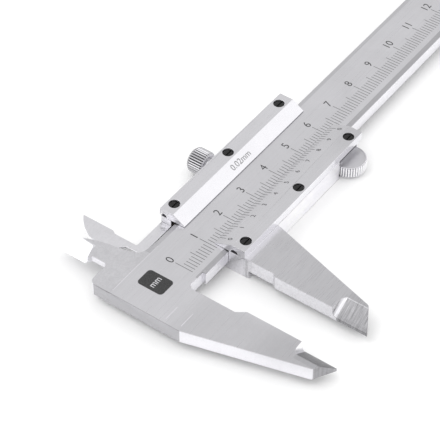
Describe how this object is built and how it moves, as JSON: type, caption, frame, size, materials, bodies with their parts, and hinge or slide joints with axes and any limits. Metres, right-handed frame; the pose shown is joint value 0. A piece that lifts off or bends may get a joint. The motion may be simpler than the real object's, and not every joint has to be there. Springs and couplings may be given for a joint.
{
  "type": "vernier caliper",
  "caption": "Steel vernier caliper with knife-edged outside jaws, crossing inside jaws, screwed vernier plates, lock screw, thumb roller and depth rod.",
  "frame": {"origin": "centre of the bounding box at its lowest level, the surface that the caliper's back lies on, with the jaws 13 mm open", "axes": "+X along the beam from the fixed jaws to its far end, +Y across the beam from the outside jaws to the inside jaws, +Z out of the graduated front face"},
  "size_m": [0.2442, 0.079, 0.0088],
  "materials": {
    "satin_steel": "satin stainless steel with fine lengthwise grinding lines",
    "bright_steel": "bright satin stainless steel with sharply ground bevels",
    "knurled_steel": "straight-knurled steel with turned end faces",
    "plain_steel": "plain ground steel",
    "black_steel": "black oxide on steel screws",
    "brass": "plain rolled brass"
  },
  "bodies": {
    "beam": {"beam": "satin_steel", "end_plate": "plain_steel", "end_plate_screw_1": "plain_steel", "end_plate_screw_2": "plain_steel"},
    "slider": {"slider_frame": "satin_steel", "upper_plate": "bright_steel", "vernier_plate": "bright_steel", "upper_plate_screw_1": "black_steel", "upper_plate_screw_2": "black_steel", "upper_plate_screw_3": "black_steel", "vernier_plate_screw_1": "black_steel", "vernier_plate_screw_2": "black_steel", "vernier_plate_screw_3": "black_steel", "gib_spring": "brass", "gib_screw_1": "black_steel", "gib_screw_2": "black_steel", "roller_pin": "plain_steel", "depth_rod": "plain_steel", "depth_rod_rivet_1": "plain_steel", "depth_rod_rivet_2": "plain_steel"},
    "roller": {"thumb_roller": "knurled_steel"},
    "pad": {"lock_pad": "brass"},
    "screw": {"lock_screw": "knurled_steel"}
  },
  "joints": [
    {"name": "slider_slide", "type": "slide", "parent": "beam", "child": "slider", "axis": [1, 0, 0], "range_m": [-0.01299, 0.137]},
    {"name": "roller_spin", "type": "hinge", "parent": "slider", "child": "roller", "pos_m": [-0.0466, -0.0033, 0.0023], "axis": [0, 0, 1], "range_deg": [-180, 1760]},
    {"name": "lock_pad_slide", "type": "slide", "parent": "slider", "child": "pad", "axis": [0, 1, 0], "range_m": [-0.0002, 0.001]},
    {"name": "lock_screw_turn", "type": "hinge", "parent": "pad", "child": "screw", "pos_m": [-0.0709, 0.02645, 0.0042], "axis": [0, 1, 0], "range_deg": [-144, 720]}
  ],
  "couplings": [
    {"joint": "roller_spin", "follows": "slider_slide", "rad_per_m": 215.05},
    {"joint": "lock_screw_turn", "follows": "lock_pad_slide", "rad_per_m": 12566}
  ]
}
